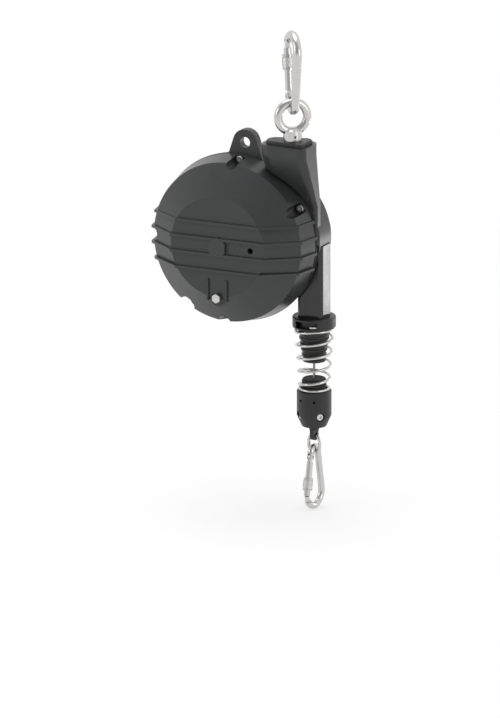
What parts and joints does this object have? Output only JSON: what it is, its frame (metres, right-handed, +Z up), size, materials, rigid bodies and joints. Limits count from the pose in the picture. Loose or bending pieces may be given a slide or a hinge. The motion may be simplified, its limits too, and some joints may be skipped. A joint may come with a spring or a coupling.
{
  "type": "tool balancer",
  "caption": "Spring balancer with a ribbed round housing, swivel eye, snap hooks, guided steel rope, conical buffer spring and rope clamp.",
  "frame": {"origin": "centre of the upper snap hook's wide bow, where the bar that carries it sits, on the swivel axis", "axes": "+Z up along the swivel axis, -Y the way the ribbed front cover looks, +X from the drum towards the column and the rope"},
  "size_m": [0.2169, 0.1088, 0.5842],
  "materials": {
    "alloy": "machined cast aluminium",
    "black_plastic": "black glass-filled nylon",
    "bronze": "sintered bronze",
    "cover_paint": "dark grey semi-gloss paint on cast aluminium",
    "housing_paint": "dark grey semi-gloss paint on cast aluminium",
    "rope_steel": "stranded steel rope",
    "rubber": "black rubber",
    "spring_steel": "blued spring steel",
    "stainless": "bright ground stainless steel",
    "zinc": "zinc plated steel"
  },
  "bodies": {
    "top_hook": {"top_hook_body": "stainless", "top_gate_pin": "zinc"},
    "top_gate": {"top_gate": "stainless"},
    "top_sleeve": {"top_sleeve": "stainless"},
    "eye": {"eye_nut": "stainless", "eye_lock_pin": "zinc", "swivel_bolt": "zinc", "bolt_washer": "zinc", "thrust_washer": "bronze"},
    "housing": {"rear_casing": "housing_paint", "front_cover": "cover_paint", "cover_screws": "stainless", "cover_gasket": "rubber", "hanger_plate": "black_plastic", "front_bush": "bronze", "rear_bush": "bronze", "adjuster_bush": "bronze", "rope_chute": "black_plastic", "guide_collar": "black_plastic", "guide_bush": "black_plastic", "guide_clip": "stainless"},
    "arbor": {"arbor": "zinc", "arbor_gear": "zinc", "gear_key": "zinc", "arbor_clip": "spring_steel", "spring_core": "zinc"},
    "adjuster": {"adjuster_pinion": "zinc"},
    "drum": {"rope_drum": "alloy", "drum_bushes": "bronze", "spring_case": "zinc", "spring_lid": "zinc", "case_screws": "zinc", "mainspring": "spring_steel", "rope_turns": "rope_steel"},
    "rope_end": {"clamp_block": "black_plastic", "clamp_screws": "stainless", "buffer_stub": "rubber", "buffer_spring": "stainless", "rope_ferrule": "zinc", "rope_hanging": "rope_steel"},
    "stem": {"swivel_stem": "black_plastic"},
    "link": {"lower_link": "stainless"},
    "lower_hook": {"lower_hook_body": "stainless", "lower_gate_pin": "zinc"},
    "lower_gate": {"lower_gate": "stainless"},
    "lower_sleeve": {"lower_sleeve": "stainless"}
  },
  "joints": [
    {"name": "top_gate_open", "type": "hinge", "parent": "top_hook", "child": "top_gate", "pos_m": [-0.0079, 0.00865, -0.05524], "axis": [0.7385, 0.6743, 0], "range_deg": [0, 20], "stiffness_Nm_per_rad": 0.02, "springref_deg": -28.65},
    {"name": "top_sleeve_screw", "type": "slide", "parent": "top_gate", "child": "top_sleeve", "axis": [-0.1029, 0.1126, 0.9883], "range_m": [0, 0.0076]},
    {"name": "eye_swing", "type": "hinge", "parent": "top_hook", "child": "eye", "pos_m": [0, 0, -0.07], "axis": [0.6743, -0.7385, 0], "range_deg": [-30, 30], "stiffness_Nm_per_rad": 30, "springref_deg": -5.73},
    {"name": "housing_swivel", "type": "hinge", "parent": "eye", "child": "housing", "pos_m": [0, 0, -0.11], "axis": [0, 0, 1], "continuous": true},
    {"name": "arbor_preload", "type": "hinge", "parent": "housing", "child": "arbor", "pos_m": [-0.076, 0.011, -0.232], "axis": [0, 1, 0], "range_deg": [0, 360]},
    {"name": "adjuster_turn", "type": "hinge", "parent": "housing", "child": "adjuster", "pos_m": [-0.076, 0, -0.293], "axis": [0, 1, 0], "range_deg": [-1836, 0]},
    {"name": "drum_spin", "type": "hinge", "parent": "housing", "child": "drum", "pos_m": [-0.076, 0.011, -0.232], "axis": [0, 1, 0], "range_deg": [0, 1300], "stiffness_Nm_per_rad": 0.1, "springref_deg": -1432.39},
    {"name": "rope_pull", "type": "slide", "parent": "housing", "child": "rope_end", "axis": [0, 0, -1], "range_m": [0, 2], "deforming": ["rope_hanging"]},
    {"name": "lower_swivel", "type": "hinge", "parent": "rope_end", "child": "stem", "pos_m": [0.012, 0.033, -0.457], "axis": [0, 0, 1], "continuous": true},
    {"name": "link_swing", "type": "hinge", "parent": "stem", "child": "link", "pos_m": [0.012, 0.033, -0.4692], "axis": [0.9925, -0.1219, 0], "range_deg": [-50, 50]},
    {"name": "lower_hook_swing", "type": "hinge", "parent": "link", "child": "lower_hook", "pos_m": [0.012, 0.033, -0.4895], "axis": [0.9925, -0.1219, 0], "range_deg": [-30, 30]},
    {"name": "lower_gate_open", "type": "hinge", "parent": "lower_hook", "child": "lower_gate", "pos_m": [0.01099, 0.02481, -0.49381], "axis": [0.9925, -0.1219, 0], "range_deg": [0, 20], "stiffness_Nm_per_rad": 0.01, "springref_deg": -28.65},
    {"name": "lower_sleeve_screw", "type": "slide", "parent": "lower_gate", "child": "lower_sleeve", "axis": [-0.0212, -0.1723, -0.9848], "range_m": [0, 0.006]}
  ],
  "couplings": [
    {"joint": "adjuster_turn", "follows": "arbor_preload", "ratio": -5.1},
    {"joint": "rope_pull", "follows": "drum_spin", "m_per_rad": 0.088}
  ]
}
